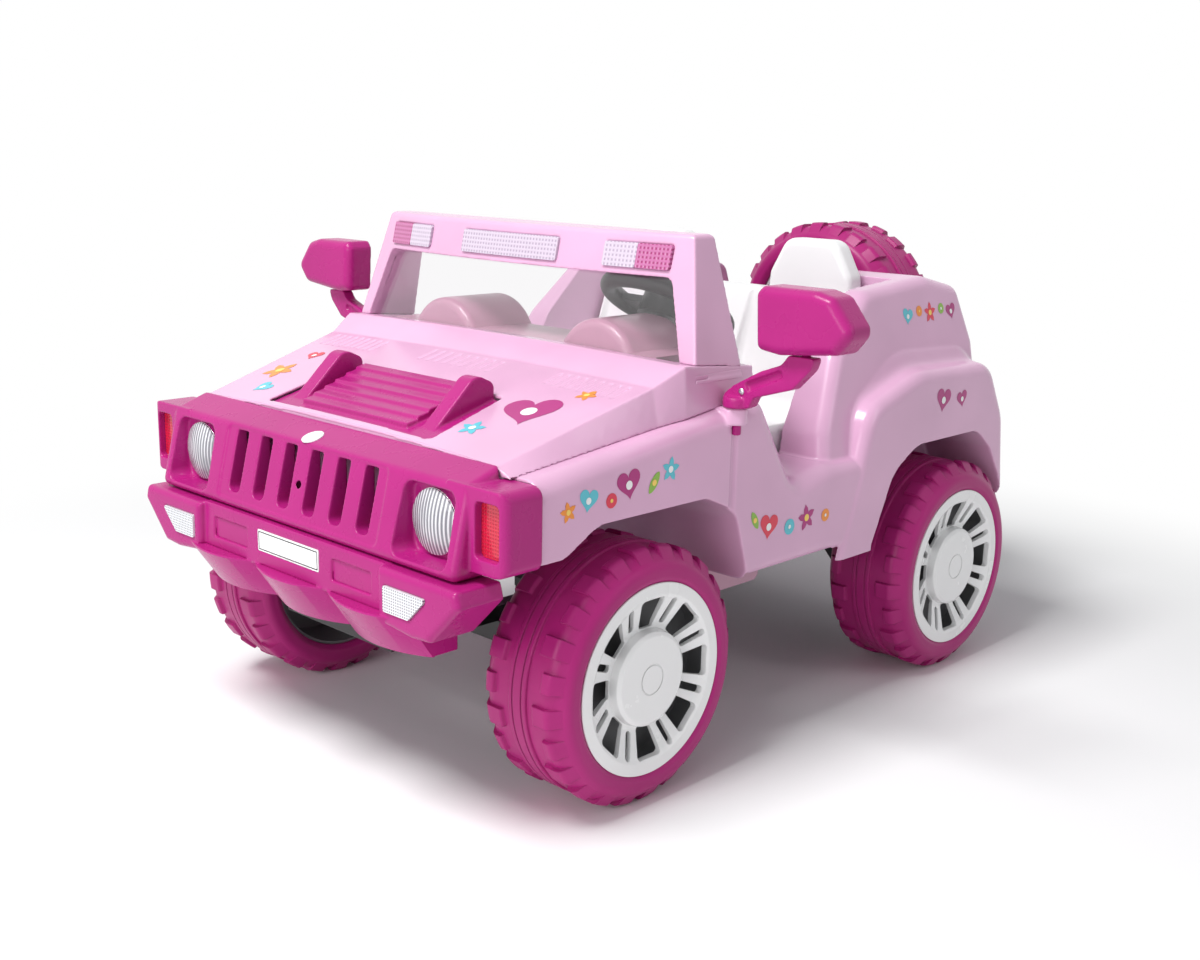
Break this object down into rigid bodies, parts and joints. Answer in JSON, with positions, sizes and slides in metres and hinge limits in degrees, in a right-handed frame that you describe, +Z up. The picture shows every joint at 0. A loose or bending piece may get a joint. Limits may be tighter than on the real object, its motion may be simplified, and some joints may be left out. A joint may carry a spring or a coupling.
{
  "type": "electric ride-on car",
  "caption": "Pink child's electric ride-on SUV with open cabin, bench of bucket seats, steering linkage, geared rear wheels, folding mirrors and a spare wheel on the tail.",
  "frame": {"origin": "on the floor under the middle of the car's overall box", "axes": "+X to the car's left, +Y to the back, +Z up"},
  "size_m": [1.0858, 1.24, 0.691],
  "materials": {
    "pale_pink": "glossy moulded plastic",
    "magenta": "glossy moulded plastic",
    "mauve": "glossy moulded plastic",
    "white": "glossy moulded plastic",
    "magenta_tyre": "satin moulded plastic",
    "grey_plastic": "satin",
    "black_plastic": "fine grain",
    "black_metal": "powder coat",
    "steel": "zinc plated",
    "silver": "metallised plastic",
    "clear_sheet": "clear sheet",
    "clear_lens": "clear ribbed lens",
    "magenta_lens": "tinted lens",
    "red_lens": "tinted lens"
  },
  "bodies": {
    "chassis": {"body_shell": "pale_pink", "bonnet": "pale_pink", "bonnet_scoop": "magenta", "windscreen_frame": "pale_pink", "windscreen": "clear_sheet", "roof_lamps_clear": "clear_lens", "roof_lamps_pink": "magenta_lens", "grille_panel": "magenta", "headlamp_reflectors": "silver", "headlamp_lenses": "clear_lens", "marker_lenses": "red_lens", "front_bumper": "magenta", "number_plate": "white", "fog_lamp_lenses": "clear_lens", "chassis_frame": "black_metal", "front_axle_beam": "black_metal", "kingpins": "steel", "column_bracket": "black_plastic", "floor_pan": "pale_pink", "seat": "white", "dashboard": "pale_pink", "rear_axle": "steel", "rear_wheel_nuts": "steel", "battery": "grey_plastic", "battery_strap": "black_plastic", "rear_bumper": "mauve", "tail_lamp_lenses": "red_lens", "spare_carrier": "black_plastic", "spare_tyre": "magenta_tyre", "spare_wheel_trim": "white", "gearbox_left": "black_plastic", "gearbox_right": "black_plastic", "motor_left": "steel", "motor_right": "steel"},
    "steering": {"steering_column": "steel", "steering_wheel": "black_plastic"},
    "horn": {"horn_button": "magenta"},
    "knuckle_left": {"knuckle_left": "black_metal", "wheel_nut_left": "steel"},
    "knuckle_right": {"knuckle_right": "black_metal", "wheel_nut_right": "steel"},
    "tie_rod": {"tie_rod": "black_metal"},
    "wheel_front_left": {"tyre_front_left": "magenta_tyre", "wheel_core_front_left": "grey_plastic", "wheel_trim_front_left": "white"},
    "wheel_front_right": {"tyre_front_right": "magenta_tyre", "wheel_core_front_right": "grey_plastic", "wheel_trim_front_right": "white"},
    "wheel_rear_left": {"tyre_rear_left": "magenta_tyre", "wheel_core_rear_left": "grey_plastic", "wheel_trim_rear_left": "white"},
    "wheel_rear_right": {"tyre_rear_right": "magenta_tyre", "wheel_core_rear_right": "grey_plastic", "wheel_trim_rear_right": "white"},
    "pedal": {"accelerator_pedal": "black_plastic"},
    "lever": {"gear_lever": "black_plastic"},
    "mirror_arm_left": {"mirror_arm_left": "magenta"},
    "mirror_arm_right": {"mirror_arm_right": "magenta"},
    "mirror_head_left": {"mirror_head_left": "magenta"},
    "mirror_head_right": {"mirror_head_right": "magenta"}
  },
  "joints": [
    {"name": "steer", "type": "hinge", "parent": "chassis", "child": "steering", "pos_m": [0.155, -0.076, 0.582], "axis": [0, 0.4871, 0.8734], "range_deg": [-38, 38]},
    {"name": "horn_press", "type": "slide", "parent": "steering", "child": "horn", "axis": [0, -0.4871, -0.8734], "range_m": [0, 0.003], "stiffness_N_per_m": 400, "springref_m": -0.003},
    {"name": "kingpin_left", "type": "hinge", "parent": "chassis", "child": "knuckle_left", "pos_m": [0.212, -0.334, 0.161], "axis": [0, 0, 1], "range_deg": [-23.4, 23.4]},
    {"name": "kingpin_right", "type": "hinge", "parent": "chassis", "child": "knuckle_right", "pos_m": [-0.212, -0.334, 0.161], "axis": [0, 0, 1], "range_deg": [-23.4, 23.4]},
    {"name": "tie_rod_pin", "type": "hinge", "parent": "knuckle_left", "child": "tie_rod", "pos_m": [0.212, -0.264, 0.1525], "axis": [0, 0, 1], "range_deg": [-23.4, 23.4]},
    {"name": "spin_front_left", "type": "hinge", "parent": "knuckle_left", "child": "wheel_front_left", "pos_m": [0.31, -0.334, 0.165], "axis": [1, 0, 0], "continuous": true},
    {"name": "spin_front_right", "type": "hinge", "parent": "knuckle_right", "child": "wheel_front_right", "pos_m": [-0.31, -0.334, 0.165], "axis": [1, 0, 0], "continuous": true},
    {"name": "spin_rear_left", "type": "hinge", "parent": "chassis", "child": "wheel_rear_left", "pos_m": [0.31, 0.374, 0.165], "axis": [1, 0, 0], "continuous": true},
    {"name": "spin_rear_right", "type": "hinge", "parent": "chassis", "child": "wheel_rear_right", "pos_m": [-0.31, 0.374, 0.165], "axis": [1, 0, 0], "continuous": true},
    {"name": "pedal_press", "type": "hinge", "parent": "chassis", "child": "pedal", "pos_m": [0.092, -0.066, 0.212], "axis": [1, 0, 0], "range_deg": [0, 12], "stiffness_Nm_per_rad": 3, "springref_deg": -5.73},
    {"name": "lever_shift", "type": "hinge", "parent": "chassis", "child": "lever", "pos_m": [0, -0.046, 0.236], "axis": [1, 0, 0], "range_deg": [-15, 15]},
    {"name": "mirror_fold_left", "type": "hinge", "parent": "chassis", "child": "mirror_arm_left", "pos_m": [0.366, -0.177, 0.482], "axis": [0, 0, 1], "range_deg": [-20, 60]},
    {"name": "mirror_fold_right", "type": "hinge", "parent": "chassis", "child": "mirror_arm_right", "pos_m": [-0.366, -0.177, 0.482], "axis": [0, 0, 1], "range_deg": [-60, 20]},
    {"name": "mirror_turn_left", "type": "hinge", "parent": "mirror_arm_left", "child": "mirror_head_left", "pos_m": [0.466, -0.177, 0.557], "axis": [0, 0, 1], "range_deg": [-20, 20]},
    {"name": "mirror_turn_right", "type": "hinge", "parent": "mirror_arm_right", "child": "mirror_head_right", "pos_m": [-0.466, -0.177, 0.557], "axis": [0, 0, 1], "range_deg": [-20, 20]}
  ],
  "couplings": [
    {"joint": "kingpin_left", "follows": "steer", "ratio": 0.6135},
    {"joint": "kingpin_right", "follows": "steer", "ratio": 0.6135},
    {"joint": "tie_rod_pin", "follows": "steer", "ratio": -0.6135}
  ]
}
